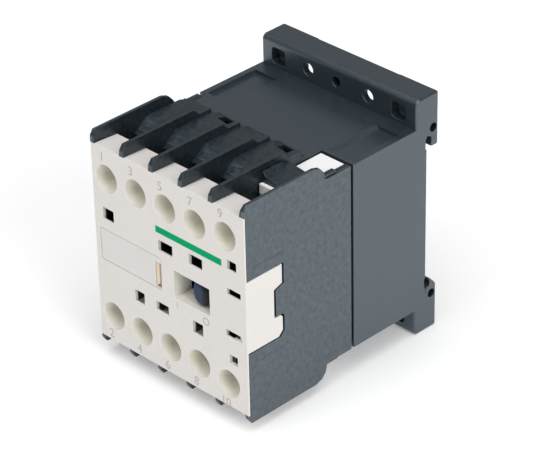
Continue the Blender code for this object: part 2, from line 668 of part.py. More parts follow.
def make_return_springs():
    for side, word in SIDES:
        centre = (MAGNET_MID_DEPTH, ROW_MID + side * RETURN_SPRING_HEIGHT)
        helix(f"return_spring_{word}", -12.2, 10.8, centre, 1.3, 0.45, 8, 7)


def make_rail_spring():
    """The bowed wire that presses the rail's upper edge down."""
    curve = bpy.data.curves.new("rail_spring", "CURVE")
    curve.dimensions = "3D"
    curve.bevel_depth = 0.4 * MM
    curve.bevel_resolution = 2
    curve.use_fill_caps = True
    spline = curve.splines.new("POLY")
    steps = 12
    spline.points.add(steps)
    for step, point in enumerate(spline.points):
        along = 2 * step / steps - 1
        point.co = (*place(10.0 * along, 54.1, 17.6 + 3.2 * along * along), 1.0)
    finished(in_scene("rail_spring", curve), STEEL, 0.3, 1.0)


def hang_on_slide(pieces):
    """Parents the pieces that travel together to an empty on the line that they travel along."""
    slide = bpy.data.objects.new("carrier_slide", None)
    slide.empty_display_size = 5 * MM
    slide.location = place(0.0, CONTACT_DEPTH, ROW_MID)
    PIECES.objects.link(slide)
    for piece in pieces:
        piece.parent = slide
        piece.matrix_parent_inverse = Matrix.Translation(-slide.location)


make_rear_housing()
make_front_housing()
make_front_cover()
make_marker_holder()
moving = [make_indicator(), make_carrier()]
make_bridges()
make_contact_springs()
make_fixed_contacts()
make_clamps()
make_screws()
make_coil_terminals()
moving.append(make_magnet())
make_bobbin()
make_winding()
make_return_springs()
make_rail_spring()
hang_on_slide(moving)
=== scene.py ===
"""The looks of a mini contactor for a 35 mm rail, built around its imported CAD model.

Lengths are in millimetres until a mesh is made. A place is (x, depth, z): x to the right of
someone facing the contactor, depth from its front face back, and z up from the middle of the rail.
"""

import json
import math

import bmesh
import bpy
from mathutils import Matrix, Vector


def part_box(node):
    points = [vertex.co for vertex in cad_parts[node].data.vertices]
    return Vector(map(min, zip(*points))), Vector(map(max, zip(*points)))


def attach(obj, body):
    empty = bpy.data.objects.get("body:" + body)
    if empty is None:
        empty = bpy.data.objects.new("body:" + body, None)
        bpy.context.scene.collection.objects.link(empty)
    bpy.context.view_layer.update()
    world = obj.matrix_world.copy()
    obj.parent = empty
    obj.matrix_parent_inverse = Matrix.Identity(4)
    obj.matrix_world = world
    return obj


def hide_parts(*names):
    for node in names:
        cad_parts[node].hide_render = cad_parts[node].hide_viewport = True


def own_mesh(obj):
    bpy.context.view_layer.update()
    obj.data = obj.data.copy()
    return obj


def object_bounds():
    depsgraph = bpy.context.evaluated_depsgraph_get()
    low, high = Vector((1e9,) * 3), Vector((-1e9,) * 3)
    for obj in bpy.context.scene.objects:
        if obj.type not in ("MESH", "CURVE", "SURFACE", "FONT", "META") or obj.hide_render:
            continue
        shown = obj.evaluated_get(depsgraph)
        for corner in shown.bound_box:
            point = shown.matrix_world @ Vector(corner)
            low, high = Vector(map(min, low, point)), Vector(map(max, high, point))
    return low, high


MM = 0.001
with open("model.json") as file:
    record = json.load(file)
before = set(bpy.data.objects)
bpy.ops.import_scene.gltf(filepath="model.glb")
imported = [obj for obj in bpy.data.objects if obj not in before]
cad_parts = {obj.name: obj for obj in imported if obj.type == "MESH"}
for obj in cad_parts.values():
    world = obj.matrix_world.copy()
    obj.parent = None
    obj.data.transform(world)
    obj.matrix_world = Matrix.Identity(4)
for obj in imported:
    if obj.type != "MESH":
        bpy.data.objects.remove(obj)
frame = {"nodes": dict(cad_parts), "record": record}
CAD_LOW, CAD_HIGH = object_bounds()
SIDES = ((1, "upper"), (-1, "lower"))
POLES = 5


def place(x, depth, z):
    return Vector((x * MM, CAD_LOW.y + depth * MM, z * MM))


def spans(node):
    """A CAD node's (x, depth, z) spans."""
    low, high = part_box(node)
    shift = Vector((0.0, CAD_LOW.y, 0.0))
    return [(a / MM, b / MM) for a, b in zip(low - shift, high - shift)]


def middle(span):
    return sum(span) / 2


def around(centre, half):
    return (centre - half, centre + half)


COVER, CASING, COIL_CASING = spans("front_cover"), spans("front_housing"), spans("rear_housing")
MARKER, TONGUE = spans("marker_holder"), spans("indicator")
HALF_WIDTH = COVER[0][1]
FACE = COVER[2]
FACE_BOTTOM, FACE_TOP = FACE
FIN_TOP = CASING[2][1]
BOTTOM, TOP = COIL_CASING[2]
COIL_FRONT, REAR = COIL_CASING[1]
BODY_MID = middle(CASING[2])
BODY_HALF = 22.35          # half the height of the body, without its fins and flange
BODY_TOP = BODY_MID + BODY_HALF
ROW_MID = middle(spans("contact_carrier")[2])
SEAM = CASING[1][1]        # rear end of the contact casing
FLANGE = REAR - 6.9        # front face of the fixing flange
SEAT = REAR - 3.5          # the face that lies on the rail
BEHIND = 58.0              # behind the whole contactor, where cutters through the flange end
WALL = 1.6                 # thickness of the walls between the terminals
PITCH = (2 * HALF_WIDTH - WALL) / POLES
CHAMBER = PITCH - WALL
LEDGE = 6.5                # how far back the ledges under the fins reach
TAB_MID = -0.45            # middle height of the cover's side tabs
FIXING_X, FIXING_Z = 17.5, 25.0
SMALL_HOLE_X = 8.75
RECESS = FLANGE + 2.2      # floor of the recess round each fixing hole

SKIN = 0.02                # depth of the cover's face, which leaves room for the prints on it
PLATE = 0.8                # thickness of the cover round its openings
THROUGH = 8.0              # behind the cover, where cutters through it end
SLOTS = [                  # middle x, middle z, width and height of the openings in the cover
    (-18.1, 7.2, 3.3, 2.8), (-0.9, 6.4, 4.2, 2.5), (8.05, 7.0, 3.9, 2.5), (18.6, 10.5, 2.6, 2.2),
    (-9.5, -9.3, 2.9, 2.8), (-2.55, -8.9, 3.7, 2.1), (8.05, -9.2, 3.0, 2.9), (19.0, 4.1, 3.9, 1.5)]
RAMP_SLOT, CATCH = (17.5, -6.1, 2.1, 1.5), (18.9, -11.9, 1.4, 1.4)


def screw_at(pole, word):
    """Middle of a screw's head, as (x, z)."""
    x, _, z = spans(f"terminal_screw_{word}_{pole + 1}")
    return middle(x), middle(z)


def chamber_left(pole):
    return -HALF_WIDTH + WALL + PITCH * pole


# --- mesh tools ----------------------------------------------------------------------------------

def shown(name, bm):
    bmesh.ops.recalc_face_normals(bm, faces=bm.faces)
    mesh = bpy.data.meshes.new(name)
    bm.to_mesh(mesh)
    bm.free()
    obj = bpy.data.objects.new(name, mesh)
    bpy.context.scene.collection.objects.link(obj)
    return obj


def round_edges(bm, radius):
    """Rounds every edge that turns by more than 25 degrees."""
    if radius:
        sharp = [edge for edge in bm.edges if edge.calc_face_angle(0.0) > math.radians(25.0)]
        bmesh.ops.bevel(
            bm, geom=sharp, offset=radius * MM, offset_type="OFFSET", segments=3, profile=0.5,
            affect="EDGES", clamp_overlap=True)


def block(x, depth, z, radius):
    """A box with rounded edges, from its three spans."""
    bm = bmesh.new()
    low, high = place(x[0], depth[0], z[0]), place(x[1], depth[1], z[1])
    size = Matrix.Diagonal((*(high - low), 1.0))
    bmesh.ops.create_cube(bm, size=1.0, matrix=Matrix.Translation((low + high) / 2) @ size)
    round_edges(bm, radius)
    return shown("block", bm)


def prism(outline, span, axis, radius):
    """A flat outline with thickness: (depth, z) points along x, (x, z) along y, (x, depth) up z."""
    if axis == "x":
        ends = [[place(value, *point) for point in outline] for value in span]
    elif axis == "y":
        ends = [[place(x, value, z) for x, z in outline] for value in span]
    else:
        ends = [[place(*point, value) for point in outline] for value in span]
    bm = bmesh.new()
    loft_rings(bm, ends)
    round_edges(bm, radius)
    return shown("prism", bm)


def loft_rings(bm, rings):
    """Skins closed rings of points, each joined to the next, and caps the two ends."""
    made = [[bm.verts.new(point) for point in ring] for ring in rings]
    for near, far in zip(made, made[1:]):
        for i in range(len(near)):
            j = (i + 1) % len(near)
            bm.faces.new((near[i], near[j], far[j], far[i]))
    bm.faces.new(made[0])
    bm.faces.new(made[-1][::-1])
    bmesh.ops.remove_doubles(bm, verts=bm.verts, dist=1e-7)
    bmesh.ops.recalc_face_normals(bm, faces=bm.faces)


def loft(rings):
    bm = bmesh.new()
    loft_rings(bm, rings)
    return shown("loft", bm)


def rounded_ring(centre, half, corner, depth, growth, steps):
    """A rectangle with round corners that faces the front; half = corner makes a circle."""
    points = []
    for quadrant in range(4):
        right = 1 if quadrant in (0, 3) else -1
        up = 1 if quadrant in (0, 1) else -1
        x = centre[0] + right * (half[0] - corner)
        z = centre[1] + up * (half[1] - corner)
        for step in range(steps + 1):
            angle = math.pi / 2 * (quadrant + step / steps)
            reach = corner + growth
            points.append(place(x + reach * math.cos(angle), depth, z + reach * math.sin(angle)))
    return points


def pocket(centre, half, corner, floor, mouth, fillet, taper=0.0, steps=4):
    """A cutter for a pocket in a face that looks forward, with a rounded rim."""
    rings = [rounded_ring(centre, half, corner, mouth - 1.0, fillet, steps)]
    rim_steps = 3
    for step in range(rim_steps + 1):
        angle = math.pi / 2 * step / rim_steps
        growth = fillet * (1.0 - math.sin(angle))
        depth = mouth + fillet * (1.0 - math.cos(angle))
        rings.append(rounded_ring(centre, half, corner, depth, growth, steps))
    rings.append(rounded_ring(centre, half, corner, floor, -taper, steps))
    return loft(rings)


def round_pocket(centre, radius, floor, mouth, fillet, taper=0.0):
    return pocket(centre, (radius, radius), radius, floor, mouth, fillet, taper, steps=12)


def rod(centre, radius, length, axis="y"):
    bm = bmesh.new()
    if axis == "x":
        turn = Matrix.Rotation(math.pi / 2, 4, "Y")
    else:
        turn = Matrix.Rotation(math.pi / 2, 4, "X")
    bmesh.ops.create_cone(
        bm, cap_ends=True, segments=40, radius1=radius * MM, radius2=radius * MM, depth=length * MM,
        matrix=Matrix.Translation(place(*centre)) @ turn)
    return shown("rod", bm)


def arc(centre, radius, start, end, steps):
    """Points on an arc, with its angles in degrees."""
    angles = [math.radians(start + (end - start) * step / steps) for step in range(steps + 1)]
    return [(centre[0] + radius * math.cos(a), centre[1] + radius * math.sin(a)) for a in angles]


def settle(obj):
    """Makes the object's evaluated mesh its own."""
    depsgraph = bpy.context.evaluated_depsgraph_get()
    depsgraph.update()
    mesh = bpy.data.meshes.new_from_object(obj.evaluated_get(depsgraph))
    obj.modifiers.clear()
    obj.data = mesh


def boolean(obj, tools, operation):
    for tool in tools:
        modifier = obj.modifiers.new(operation, "BOOLEAN")
        modifier.operation = operation
        modifier.solver = "MANIFOLD"
        modifier.object = tool
    settle(obj)
    for tool in tools:
        bpy.data.objects.remove(tool, do_unlink=True)
    return obj


def join(obj, *tools):
    return boolean(obj, tools, "UNION")


def cut(obj, *tools):
    return boolean(obj, tools, "DIFFERENCE")


def smooth(obj):
    """Shades round stretches smooth and keeps flat faces flat."""
    obj.data.shade_smooth()
    obj.data.set_sharp_from_angle(angle=math.radians(32.0))
    weighted = obj.modifiers.new("flat_faces", "WEIGHTED_NORMAL")
    weighted.keep_sharp = True
    weighted.weight = 80


def finish_piece(obj, name, made_of, body, slot, *nodes):
    """Names the piece, gives it its material and hangs it on its body in place of CAD nodes."""
    obj.name = name
    obj.data.name = name
    smooth(obj)
    obj.data.materials.clear()
    obj.data.materials.append(made_of)
    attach(obj, body)
    if nodes:
        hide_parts(*nodes)
    return obj


# --- materials -----------------------------------------------------------------------------------

class Recipe:
    """A Principled material under construction, with short calls for the nodes that it uses."""

    def __init__(self, name, roughness, metallic=0.0, specular=0.5, ior=1.5, sheen=(1.0, 1.0, 1.0)):
        self.material = bpy.data.materials.new(name)
        self.material.use_nodes = True
        self.nodes = self.material.node_tree.nodes
        self.links = self.material.node_tree.links
        self.shader = self.nodes["Principled BSDF"]
        self.shader.inputs["Roughness"].default_value = roughness
        self.shader.inputs["Metallic"].default_value = metallic
        self.shader.inputs["Specular IOR Level"].default_value = specular
        self.shader.inputs["IOR"].default_value = ior
        self.shader.inputs["Specular Tint"].default_value = (*sheen, 1.0)
        self.place = self.nodes.new("ShaderNodeTexCoord").outputs["Object"]

    def stretched(self, scale):
        mapping = self.nodes.new("ShaderNodeMapping")
        mapping.inputs["Scale"].default_value = scale
        self.links.new(self.place, mapping.inputs["Vector"])
        return mapping.outputs["Vector"]

    def noise(self, size, detail, rough=0.55, scale=None):
        """Noise whose lumps are about size millimetres across."""
        node = self.nodes.new("ShaderNodeTexNoise")
        node.inputs["Scale"].default_value = 1.0 / (size * MM)
        node.inputs["Detail"].default_value = detail
        node.inputs["Roughness"].default_value = rough
        self.links.new(self.stretched(scale) if scale else self.place, node.inputs["Vector"])
        return node.outputs["Fac"]

    def along(self, axis):
        """A coordinate of the piece, in metres."""
        split = self.nodes.new("ShaderNodeSeparateXYZ")
        self.links.new(self.place, split.inputs["Vector"])
        return split.outputs[axis]

    def figured(self, operation, first, second=0.0):
        """Arithmetic on a node's output and a number or another output."""
        node = self.nodes.new("ShaderNodeMath")
        node.operation = operation
        self.links.new(first, node.inputs[0])
        if isinstance(second, float):
            node.inputs[1].default_value = second
        else:
            self.links.new(second, node.inputs[1])
        return node.outputs["Value"]

    def ranged(self, value, low, high, start=0.0, end=1.0):
        node = self.nodes.new("ShaderNodeMapRange")
        limits = {"From Min": start, "From Max": end, "To Min": low, "To Max": high}
        for name, number in limits.items():
            node.inputs[name].default_value = number
        self.links.new(value, node.inputs["Value"])
        return node.outputs["Result"]

    def mixed(self, factor, first, second):
        """A colour between two, each a colour or another node's output."""
        node = self.nodes.new("ShaderNodeMix")
        node.data_type = "RGBA"
        self.links.new(factor, node.inputs["Factor"])
        for name, value in (("A", first), ("B", second)):
            socket = [s for s in node.inputs if s.name == name and s.type == "RGBA"][0]
            if isinstance(value, tuple):
                socket.default_value = (*value, 1.0)
            else:
                self.links.new(value, socket)
        return [s for s in node.outputs if s.type == "RGBA"][0]

    def edges(self, radius):
        """High along outer edges, for wear and for painted highlights where the bevels catch the
        light.
        """
        bevel = self.nodes.new("ShaderNodeBevel")
        bevel.samples = 6
        bevel.inputs["Radius"].default_value = radius * MM
        dot = self.nodes.new("ShaderNodeVectorMath")
        dot.operation = "DOT_PRODUCT"
        self.links.new(bevel.outputs["Normal"], dot.inputs[0])
        self.links.new(self.nodes.new("ShaderNodeNewGeometry").outputs["Normal"], dot.inputs[1])
        return self.ranged(dot.outputs["Value"], 1.0, 0.0, 0.72, 0.985)

    def coloured(self, colour):
        self.links.new(colour, self.shader.inputs["Base Color"])

    def glossed(self, roughness):
        self.links.new(roughness, self.shader.inputs["Roughness"])

    def bumped(self, height, strength, distance, onto=None):
        bump = self.nodes.new("ShaderNodeBump")
        bump.inputs["Strength"].default_value = strength
        bump.inputs["Distance"].default_value = distance * MM
        self.links.new(height, bump.inputs["Height"])
        if onto:
            self.links.new(onto, bump.inputs["Normal"])
        self.links.new(bump.outputs["Normal"], self.shader.inputs["Normal"])
        return bump.outputs["Normal"]


def scaled(colour, factor):
    return tuple(min(1.0, channel * factor) for channel in colour)


def moulded(
        name, colour, roughness, mottle, grain, grain_size, edge_lift, specular=0.5, ior=1.5,
        sheen=(1.0, 1.0, 1.0), painted_light_region=None, painted_light_colour=None, relief=0.02, gleam=0.0, dull=None):
    """Moulded plastic: cloudy colour, fine grain, edges paler as wear and painted highlight,
    and a region painted another colour as the light or shade that falls there.

    With gleam, the gloss falls by up to that much from speck to speck, and again where dull says.
    """
    recipe = Recipe(name, roughness, 0.0, specular, ior, sheen)
    clouds = recipe.ranged(recipe.noise(7.0, 4.0), 0.0, 1.0, 0.3, 0.7)
    specks = recipe.ranged(recipe.noise(grain_size * 1.6, 2.0), 0.0, 1.0, 0.3, 0.7)
    soft = 0.6 * mottle
    base = recipe.mixed(clouds, scaled(colour, 1.0 - soft), scaled(colour, 1.0 + soft))
    speckled = recipe.mixed(specks, scaled(colour, 1.0 - mottle), scaled(colour, 1.0 + mottle))
    half = recipe.ranged(recipe.noise(2.2, 2.0), 0.35, 0.65)
    body = recipe.mixed(half, base, speckled)
    # Painted light: bounce light in the cover's wells, shade on the tongue's right stretch.
    if painted_light_region:
        body = recipe.mixed(painted_light_region(recipe), body, painted_light_colour)
    # Paler edges: partly wear, partly painted highlight along the bevels.
    edge_wear_and_highlight = recipe.edges(0.3)
    recipe.coloured(recipe.mixed(edge_wear_and_highlight, body, scaled(colour, edge_lift)))
    recipe.glossed(recipe.ranged(specks, roughness - 0.07, roughness + 0.07))
    if gleam:
        level = recipe.ranged(specks, specular - gleam, specular)
        level = recipe.figured("MULTIPLY", level, recipe.ranged(dull(recipe), 1.0, 0.55))
        recipe.links.new(level, recipe.shader.inputs["Specular IOR Level"])
    waves = recipe.bumped(recipe.noise(3.0, 2.0), 0.10, 0.05)
    recipe.bumped(recipe.noise(grain_size, 2.0), grain, relief, waves)
    return recipe.material


def near_zero(recipe, value, reach):
    """1 where a coordinate is less than reach millimetres from zero, and 0 elsewhere."""
    return recipe.figured("LESS_THAN", recipe.figured("ABSOLUTE", value), reach * MM)


def behind_face(recipe):
    """The inside of the wells and of the window, painted warmer and paler as bounce light between the
    white walls.
    """
    behind = recipe.figured("GREATER_THAN", recipe.along("Y"), CAD_LOW.y + 0.35 * MM)
    across = near_zero(recipe, recipe.along("X"), 21.3)
    height = recipe.figured("SUBTRACT", recipe.along("Z"), middle(FACE) * MM)
    between = near_zero(recipe, height, 22.6)
    return recipe.figured("MULTIPLY", behind, recipe.figured("MULTIPLY", across, between))


def between_flanks(recipe):
    """The fins and the chambers, which are duller than the flanks."""
    return near_zero(recipe, recipe.along("X"), 21.9)


def right_part(recipe):
    """The right stretch of the tongue, painted black as shade from the window's right wall."""
    start = middle(TONGUE[0])
    return recipe.ranged(recipe.along("X"), 0.0, 1.0, start * MM, (start + 0.9) * MM)


def metal(name, colour, roughness):
    """Metal with fine drawn lines, cloudy tarnish and bright edges."""
    recipe = Recipe(name, roughness, 1.0)
    lines = recipe.noise(0.25, 3.0, 0.6, (1.0, 12.0, 1.0))
    clouds = recipe.ranged(recipe.noise(1.6, 4.0), 0.0, 1.0, 0.35, 0.7)
    body = recipe.mixed(clouds, scaled(colour, 0.75), colour)
    recipe.coloured(recipe.mixed(recipe.edges(0.15), body, scaled(colour, 1.2)))
    recipe.glossed(recipe.ranged(lines, roughness - 0.12, roughness + 0.15, 0.3, 0.7))
    recipe.bumped(lines, 0.25, 0.01)
    return recipe.material


def layered(name, colour, pitch, metallic):
    """Thin layers side by side: laminations of a magnet, or turns of a winding."""
    recipe = Recipe(name, 0.4, metallic)
    wave_at_one = math.pi / 10     # metres from wave to wave at a scale of 1
    wave = recipe.nodes.new("ShaderNodeTexWave")
    wave.bands_direction = "Y" if metallic == 1.0 else "X"
    wave.inputs["Scale"].default_value = wave_at_one / (2 * pitch * MM)
    wave.inputs["Distortion"].default_value = 0.6
    recipe.links.new(recipe.place, wave.inputs["Vector"])
    clouds = recipe.noise(2.0, 3.0)
    banded = recipe.mixed(wave.outputs["Fac"], scaled(colour, 0.7), scaled(colour, 1.1))
    recipe.coloured(recipe.mixed(clouds, banded, scaled(colour, 0.9)))
    recipe.bumped(wave.outputs["Fac"], 0.6, 0.05)
    return recipe.material


GREY = (0.009, 0.014, 0.018)
SHEEN = (0.75, 0.89, 1.0)

# The numbers after a plastic's colour: roughness, mottle, its grain's strength and size, edge lift.
# Its edge lift of 3.5 paints bright highlight lines along the fins' top edges.
CASING_PLASTIC = moulded(
    "casing_plastic", GREY, 0.42, 0.2, 0.9, 0.7, 3.5, specular=1.0, ior=1.80, sheen=SHEEN,
    relief=0.06, gleam=0.42, dull=between_flanks)
COIL_CASING_PLASTIC = moulded(
    "coil_casing_plastic", GREY, 0.42, 0.07, 0.25, 0.25, 3.0, specular=1.0, ior=1.69, sheen=SHEEN)
# Its wells and window are painted warmer and paler, as bounce light between the white walls.
COVER_PLASTIC = moulded(
    "cover_plastic", (0.75, 0.72, 0.69), 0.42, 0.025, 0.12, 0.4, 1.04,
    painted_light_region=behind_face, painted_light_colour=(0.90, 0.88, 0.78))
MARKER_PLASTIC = moulded("marker_plastic", (0.715, 0.70, 0.67), 0.36, 0.02, 0.08, 0.5, 1.04)
CLIP_PLASTIC = moulded("clip_plastic", (0.76, 0.62, 0.48), 0.45, 0.05, 0.15, 0.4, 1.05)
# Its right stretch is painted black, as shade from the window's right wall.
TONGUE_PLASTIC = moulded(
    "tongue_plastic", (0.012, 0.030, 0.088), 0.4, 0.10, 0.15, 0.4, 1.3, specular=0.2,
    painted_light_region=right_part, painted_light_colour=(0.012, 0.013, 0.013))
FORMER_PLASTIC = moulded("former_plastic", (0.91, 0.91, 0.92), 0.4, 0.02, 0.12, 0.4, 1.02)
CARRIER_PLASTIC = moulded("carrier_plastic", (0.075, 0.048, 0.032), 0.5, 0.2, 0.4, 0.3, 1.5)
GREEN_PRINT = moulded(
    "green_print", (0.002, 0.36, 0.140), 0.5, 0.05, 0.08, 0.3, 1.0, specular=0.02)
GREY_PRINT = moulded("grey_print", (0.47, 0.42, 0.41), 0.5, 0.15, 0.1, 0.2, 1.0)
STEEL = metal("plated_steel", (0.62, 0.61, 0.58), 0.3)
SPRING_STEEL = metal("spring_steel", (0.55, 0.55, 0.56), 0.28)
BRASS = metal("terminal_brass", (0.74, 0.58, 0.30), 0.32)
COPPER = metal("bare_copper", (0.78, 0.42, 0.26), 0.3)
MAGNET = layered("magnet_laminations", (0.28, 0.28, 0.29), 0.5, 1.0)
WINDING = layered("winding_turns", (0.42, 0.13, 0.04), 0.3, 0.6)


# --- casings -------------------------------------------------------------------------------------

def upright(outline, side):
    """The outline, or for the lower side the same upside down about the casings' middle."""
    return outline if side > 0 else [(first, 2 * BODY_MID - z) for first, z in outline]


def fin(side, front, rear, rib):
    """A fin's outline with the wall behind it, from its nose back, with or without a low rib."""
    face = FACE_TOP if side > 0 else 2 * BODY_MID - FACE_BOTTOM
    root = face - 0.15
    outline = [(front, root), (0.0, root), (0.0, FIN_TOP - 1.25), (0.8, FIN_TOP)]
    if rib:
        end = BODY_TOP - 0.2
        outline += [(20.3, FIN_TOP), (21.6, FIN_TOP - 1.4), (25.0, FIN_TOP - 1.4), (25.1, end)]
    else:
        end = BODY_TOP
        outline += [(19.8, FIN_TOP), (21.6, FIN_TOP - 0.6), (22.7, FIN_TOP - 1.9), (23.1, end)]
    outline += [(rear, end), (rear, BODY_MID - 0.5), (front, BODY_MID - 0.5)]
    return upright(outline, side)


def wall(left, front, rear, kept):
    """One wall, whose fins get thinner from their roots to their edges.

    kept says which of its faces stays flat: -1 the left one, 1 the right one, 0 neither.
    """
    span = (left, left + WALL)
    halves = [prism(fin(side, front, rear, kept == 0), span, "x", 0.1) for side, _ in SIDES]
    fixed = left + WALL * (1 + kept) / 2
    for half in halves:
        for vertex in half.data.vertices:
            height = abs(vertex.co.z / MM - BODY_MID) - BODY_HALF
            share = min(1.0, max(0.0, height / (FIN_TOP - BODY_MID - BODY_HALF)))
            vertex.co.x = (fixed + (vertex.co.x / MM - fixed) * (1.0 - 0.5 * share)) * MM
    return join(*halves)


def roof(side):
    """The roof, or the floor, with a ramp in front."""
    inner = BODY_TOP - WALL
    crest = BODY_TOP + 0.6
    outline = [
        (11.0, inner - 0.1), (11.0, inner + 0.4), (13.4, crest), (26.6, crest), (26.6, inner + 0.3),
        (SEAM - 0.1, inner + 0.3), (SEAM - 0.1, inner - 0.1)]
    return prism(upright(outline, side), around(0.0, HALF_WIDTH - 0.4), "x", 0.1)


def slope(near, far, span):
    """A solid between two outlines of (depth, z) points, at the two ends of an x span."""
    ends = zip(span, (near, far))
    return loft([[place(x, *point) for point in outline] for x, outline in ends])


def hump(front, rear, rise, tail, drop, height):
    """A hump's outline over the roof; it falls behind its tail to the share drop of its height."""
    base = BODY_TOP - 0.3
    return [
        (front, base), (front + rise, base + height), (tail, base + height),
        (rear, base + height * drop), (rear, base)]


def wire_guides(side):
    """The hump on each chamber's roof, high beside the fin on its left, and the last one's strip."""
    made = []
    for pole in range(POLES):
        left = chamber_left(pole)
        shape = (11.9, 27.3, 3.0, 24.0, 0.45)
        if pole == POLES - 1:
            shape = (13.7, 21.4, 0.1, 21.35, 1.0)
        near, far = [upright(hump(*shape, height), side) for height in (1.9, 1.1)]
        made.append(slope(near, far, (left - 0.2, left + CHAMBER - 0.9)))
    base = BODY_TOP - 0.3
    strip = [
        (left - 0.1, base), (left - 0.1, base + 2.75), (left + 0.4, base + 2.75),
        (left + 1.2, base + 1.5), (left + 1.2, base)]
    made.append(prism(upright(strip, side), (13.8, 19.4), "y", 0.1))
    return made


def tab_outline(gap=0.0, rear_gap=0.0):
    """The arm of the cover that clips into each side of the casing, as (depth, z)."""
    front = 0.3 - 5 * gap
    outer, inner = 8.55 + gap, 3.55 - gap
    long, short = 10.3 + rear_gap, 7.95 + rear_gap
    return [
        (front, TAB_MID + outer), (long, TAB_MID + outer), (long, TAB_MID + inner + 0.5),
        (short, TAB_MID + inner - 0.3), (short, TAB_MID - inner), (long - 0.5, TAB_MID - inner),
        (long, TAB_MID - inner - 0.6), (long, TAB_MID - outer + 1.2), (long - 1.2, TAB_MID - outer),
        (front, TAB_MID - outer)]


def make_contact_casing():
    """The contact casing: walls with fins, roof, floor, rear wall and shelves."""
    casing = roof(1)
    edges = [chamber_left(pole) - WALL for pole in range(POLES + 1)]
    walls = [wall(edge, LEDGE + 0.25, 27.9, 0) for edge in edges[1:-1]]
    walls += [wall(edges[0], 0.5, SEAM - 0.1, -1), wall(edges[-1], 0.5, SEAM - 0.1, 1)]
    rear_wall = block(
        around(0.0, HALF_WIDTH - 0.5), (27.4, 28.6), around(BODY_MID, BODY_HALF - 1.2), 0.1)
    join(casing, roof(-1), rear_wall, *walls)
    shelf = around(0.0, HALF_WIDTH - 0.7)
    shelves = [
        block(shelf, (LEDGE + 0.3, 18.6), around(ROW_MID + side * 10.6, 0.6), 0.1)
        for side, _ in SIDES]
    right_end = (16.7, 20.95)
    slot_areas = (
        (around(0.0, 20.95), around(ROW_MID, 10.0)), (right_end, (8.5, 12.3)),
        (right_end, (-14.1, -9.0)))
    behind_slots = [block(x, (PLATE + 0.1, 7.2), z, 0.0) for x, z in slot_areas]
    join(casing, *shelves, *behind_slots, *wire_guides(1), *wire_guides(-1))
    # Rooms for the carrier's slide, the window's tube, and the carrier's stem and arm.
    hollow = [
        block(around(0.0, 20.7), (16.9, 26.1), around(ROW_MID, 4.6), 0.1),
        block((0.1, 13.1), (0.6, 7.0), (ROW_MID - 4.7, ROW_MID + 4.5), 0.1),
        block((2.6, 10.2), (4.0, 17.5), around(ROW_MID, 3.4), 0.1),
        block((11.9, 19.8), (25.5, 29.5), around(ROW_MID, 4.4), 0.1)]
    pits = [
        block(around(x, w / 2 + 0.1), (-1.0, 6.8), (z - h / 2 - 1.4, z + h / 2 + 0.1), 0.0)
        for x, z, w, h in SLOTS + [RAMP_SLOT, CATCH]]
    cut(casing, *hollow, *pits, *[coil_room(side) for side, _ in SIDES])
    cover_height = (FACE_BOTTOM + 0.4, FACE_TOP - 0.4)
    reliefs = [
        block(x, (0.4, LEDGE + 0.25), cover_height, 0.0) for x in ((-21.6, -20.0), (20.0, 21.6))]
    latches = [
        block(around(x, 1.5), (24.5, 26.6), around(BODY_MID + side * 22.4, 2.2), 0.06)
        for x in (-PITCH, PITCH) for side, _ in SIDES]
    cut(casing, *reliefs, *latches)
    notch = tab_outline(0.2, 0.45)
    cut(casing, *[prism(notch, span, "x", 0.0) for span in both_flanks(WALL + 0.2, 1.0)])
    cut(casing, *[tab_groove(turn) for turn in (1, -1)])
    finish_piece(
        casing, "contact_casing", CASING_PLASTIC, "case", "front_grey_plastic", "front_housing")


def both_flanks(inside, outside):
    """The x spans of the same stretch on the right and on the left flank."""
    right = (HALF_WIDTH - inside, HALF_WIDTH + outside)
    return [right, (-right[1], -right[0])]


def coil_room(side):
    """The room over a coil terminal, which leaves a bar of the roof standing."""
    heights = [18.2, 18.2, 25.5, 25.5, 21.5, 21.5, 25.5, 25.5]
    depths = [9.0, 31.5, 31.5, 21.5, 21.5, 13.6, 13.6, 9.0]
    outline = [(depth, BODY_MID + height) for depth, height in zip(depths, heights)]
    left = chamber_left(POLES - 1)
    return prism(upright(outline, side), (left - 0.03, left + CHAMBER + 0.03), "x", 0.05)


def tab_groove(turn):
    """A shallow line in each flank, round the place where the tab clips in."""
    x = turn * HALF_WIDTH
    outer = block(around(x, 0.04), (2.2, 10.5), around(TAB_MID, 11.5), 0.0)
    inner = block(around(x, 0.10), (2.4, 10.8), around(TAB_MID, 11.35), 0.0)
    return cut(outer, inner)


